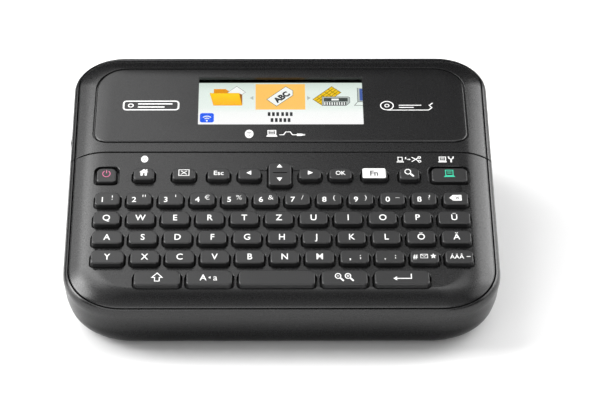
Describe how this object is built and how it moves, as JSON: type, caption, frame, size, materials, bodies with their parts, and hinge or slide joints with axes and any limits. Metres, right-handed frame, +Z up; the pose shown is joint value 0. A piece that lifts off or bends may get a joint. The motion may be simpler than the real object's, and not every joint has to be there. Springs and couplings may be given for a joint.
{
  "type": "label maker",
  "caption": "Desktop label maker with a full keyboard, colour display, hinged battery and cassette cover, tape feed train and cutter.",
  "frame": {"origin": "on the ground under the middle of the case", "axes": "+X to the user's right, -Y towards the user, +Z up"},
  "size_m": [0.2026, 0.1925, 0.0713],
  "materials": {
    "case_plastic": "fine-grained charcoal",
    "panel_plastic": "smoother charcoal",
    "key_rubber": "matte charcoal with white legends",
    "lens_clear": "clear window over the display",
    "lcd_screen": "lit colour display",
    "board_green": "solder-masked circuit board",
    "steel": "plain steel",
    "foot_rubber": "soft black",
    "inner_plastic": "plain moulding",
    "gear_acetal": "natural acetal",
    "cell_sleeve": "printed battery sleeve",
    "cassette_plastic": "grey cassette",
    "tape_white": "white laminated tape",
    "ribbon_black": "ink ribbon",
    "socket_black": "black socket",
    "head_ceramic": "ceramic head on its heat sink"
  },
  "bodies": {
    "case": {"keyboard_cover": "case_plastic", "display_cover": "case_plastic", "display_panel": "panel_plastic", "display_lens": "lens_clear", "lcd_module": "lcd_screen", "lower_case": "case_plastic", "keypad_board": "board_green", "main_board": "board_green", "screw_front_left": "steel", "screw_front_right": "steel", "screw_middle_left": "steel", "screw_middle_right": "steel", "foot_front_left": "foot_rubber", "foot_front_right": "foot_rubber", "chassis": "inner_plastic", "cell_1": "cell_sleeve", "cell_2": "cell_sleeve", "cell_3": "cell_sleeve", "cell_4": "cell_sleeve", "cell_5": "cell_sleeve", "cell_6": "cell_sleeve", "cell_contacts_front": "steel", "cell_contacts_rear": "steel", "cassette_shell": "cassette_plastic", "feed_motor": "steel", "print_head": "head_ceramic", "cutter_fixed_blade": "steel", "power_socket": "socket_black", "usb_socket": "steel"},
    "rear_cover_body": {"rear_cover": "case_plastic", "foot_rear_left": "foot_rubber", "foot_rear_right": "foot_rubber", "tape_exit_bezel": "case_plastic"},
    "key_shift_body": {"key_shift": "key_rubber"},
    "key_case_body": {"key_case": "key_rubber"},
    "key_space_body": {"key_space": "key_rubber"},
    "key_zoom_body": {"key_zoom": "key_rubber"},
    "key_enter_body": {"key_enter": "key_rubber"},
    "key_home_body": {"key_home": "key_rubber"},
    "key_preview_body": {"key_preview": "key_rubber"},
    "key_escape_body": {"key_escape": "key_rubber"},
    "key_left_body": {"key_left": "key_rubber"},
    "key_right_body": {"key_right": "key_rubber"},
    "key_ok_body": {"key_ok": "key_rubber"},
    "key_function_body": {"key_function": "key_rubber"},
    "key_search_body": {"key_search": "key_rubber"},
    "key_power_body": {"key_power": "key_rubber"},
    "key_print_body": {"key_print": "key_rubber"},
    "key_row_numbers_body": {"key_row_numbers": "key_rubber"},
    "key_row_upper_body": {"key_row_upper": "key_rubber"},
    "key_row_middle_body": {"key_row_middle": "key_rubber"},
    "key_row_lower_body": {"key_row_lower": "key_rubber"},
    "key_up_down_body": {"key_up_down": "key_rubber"},
    "idler_body": {"idler_gear": "gear_acetal"},
    "platen_body": {"platen_roller": "foot_rubber"},
    "ribbon_body": {"ribbon_spindle": "gear_acetal", "ribbon_spool": "ribbon_black"},
    "pinion_body": {"motor_pinion": "gear_acetal"},
    "tape_roll_body": {"tape_roll": "tape_white"},
    "cutter_body": {"cutter_moving_blade": "steel"}
  },
  "joints": [
    {"name": "rear_cover_hinge", "type": "hinge", "parent": "case", "child": "rear_cover_body", "pos_m": [0, 0.0163, 0.0042], "axis": [-1, 0, 0], "range_deg": [0, 60]},
    {"name": "key_shift_press", "type": "slide", "parent": "case", "child": "key_shift_body", "axis": [0, 0.2588, -0.9659], "range_m": [0, 0.001], "stiffness_N_per_m": 600},
    {"name": "key_case_press", "type": "slide", "parent": "case", "child": "key_case_body", "axis": [0, 0.2588, -0.9659], "range_m": [0, 0.001], "stiffness_N_per_m": 600},
    {"name": "key_space_press", "type": "slide", "parent": "case", "child": "key_space_body", "axis": [0, 0.2588, -0.9659], "range_m": [0, 0.001], "stiffness_N_per_m": 600},
    {"name": "key_zoom_press", "type": "slide", "parent": "case", "child": "key_zoom_body", "axis": [0, 0.2588, -0.9659], "range_m": [0, 0.001], "stiffness_N_per_m": 600},
    {"name": "key_enter_press", "type": "slide", "parent": "case", "child": "key_enter_body", "axis": [0, 0.2588, -0.9659], "range_m": [0, 0.001], "stiffness_N_per_m": 600},
    {"name": "key_home_press", "type": "slide", "parent": "case", "child": "key_home_body", "axis": [0, 0.2588, -0.9659], "range_m": [0, 0.001], "stiffness_N_per_m": 600},
    {"name": "key_preview_press", "type": "slide", "parent": "case", "child": "key_preview_body", "axis": [0, 0.2588, -0.9659], "range_m": [0, 0.001], "stiffness_N_per_m": 600},
    {"name": "key_escape_press", "type": "slide", "parent": "case", "child": "key_escape_body", "axis": [0, 0.2588, -0.9659], "range_m": [0, 0.001], "stiffness_N_per_m": 600},
    {"name": "key_left_press", "type": "slide", "parent": "case", "child": "key_left_body", "axis": [0, 0.2588, -0.9659], "range_m": [0, 0.001], "stiffness_N_per_m": 600},
    {"name": "key_right_press", "type": "slide", "parent": "case", "child": "key_right_body", "axis": [0, 0.2588, -0.9659], "range_m": [0, 0.001], "stiffness_N_per_m": 600},
    {"name": "key_ok_press", "type": "slide", "parent": "case", "child": "key_ok_body", "axis": [0, 0.2588, -0.9659], "range_m": [0, 0.001], "stiffness_N_per_m": 600},
    {"name": "key_function_press", "type": "slide", "parent": "case", "child": "key_function_body", "axis": [0, 0.2588, -0.9659], "range_m": [0, 0.001], "stiffness_N_per_m": 600},
    {"name": "key_search_press", "type": "slide", "parent": "case", "child": "key_search_body", "axis": [0, 0.2588, -0.9659], "range_m": [0, 0.001], "stiffness_N_per_m": 600},
    {"name": "key_power_press", "type": "slide", "parent": "case", "child": "key_power_body", "axis": [0, 0.2588, -0.9659], "range_m": [0, 0.001], "stiffness_N_per_m": 600},
    {"name": "key_print_press", "type": "slide", "parent": "case", "child": "key_print_body", "axis": [0, 0.2588, -0.9659], "range_m": [0, 0.001], "stiffness_N_per_m": 600},
    {"name": "key_row_numbers_press", "type": "slide", "parent": "case", "child": "key_row_numbers_body", "axis": [0, 0.2588, -0.9659], "range_m": [0, 0.001], "stiffness_N_per_m": 3000},
    {"name": "key_row_upper_press", "type": "slide", "parent": "case", "child": "key_row_upper_body", "axis": [0, 0.2588, -0.9659], "range_m": [0, 0.001], "stiffness_N_per_m": 3000},
    {"name": "key_row_middle_press", "type": "slide", "parent": "case", "child": "key_row_middle_body", "axis": [0, 0.2588, -0.9659], "range_m": [0, 0.001], "stiffness_N_per_m": 3000},
    {"name": "key_row_lower_press", "type": "slide", "parent": "case", "child": "key_row_lower_body", "axis": [0, 0.2588, -0.9659], "range_m": [0, 0.001], "stiffness_N_per_m": 3000},
    {"name": "key_up_down_rock", "type": "hinge", "parent": "case", "child": "key_up_down_body", "pos_m": [-0.0004, -0.01732, 0.04966], "axis": [1, 0, 0], "range_deg": [-3, 3], "stiffness_Nm_per_rad": 0.05},
    {"name": "idler_spin", "type": "hinge", "parent": "case", "child": "idler_body", "pos_m": [-0.064, 0.0246, 0.0447], "axis": [0, 0, 1], "continuous": true},
    {"name": "platen_spin", "type": "hinge", "parent": "case", "child": "platen_body", "pos_m": [-0.08005, 0.01397, 0.0447], "axis": [0, 0, 1], "continuous": true},
    {"name": "ribbon_spin", "type": "hinge", "parent": "case", "child": "ribbon_body", "pos_m": [-0.07001, 0.04204, 0.0447], "axis": [0, 0, 1], "continuous": true},
    {"name": "pinion_spin", "type": "hinge", "parent": "case", "child": "pinion_body", "pos_m": [-0.04996, 0.01682, 0.0447], "axis": [0, 0, 1], "continuous": true},
    {"name": "tape_roll_spin", "type": "hinge", "parent": "case", "child": "tape_roll_body", "pos_m": [-0.042, 0.054, 0.0115], "axis": [0, 0, 1], "continuous": true},
    {"name": "cutter_stroke", "type": "slide", "parent": "case", "child": "cutter_body", "axis": [0, 1, 0], "range_m": [0, 0.0035]}
  ],
  "couplings": [
    {"joint": "pinion_spin", "follows": "idler_spin", "ratio": -3},
    {"joint": "platen_spin", "follows": "idler_spin", "ratio": -1.6667},
    {"joint": "ribbon_spin", "follows": "idler_spin", "ratio": -1.875},
    {"joint": "tape_roll_spin", "follows": "idler_spin", "ratio": -0.41667}
  ]
}
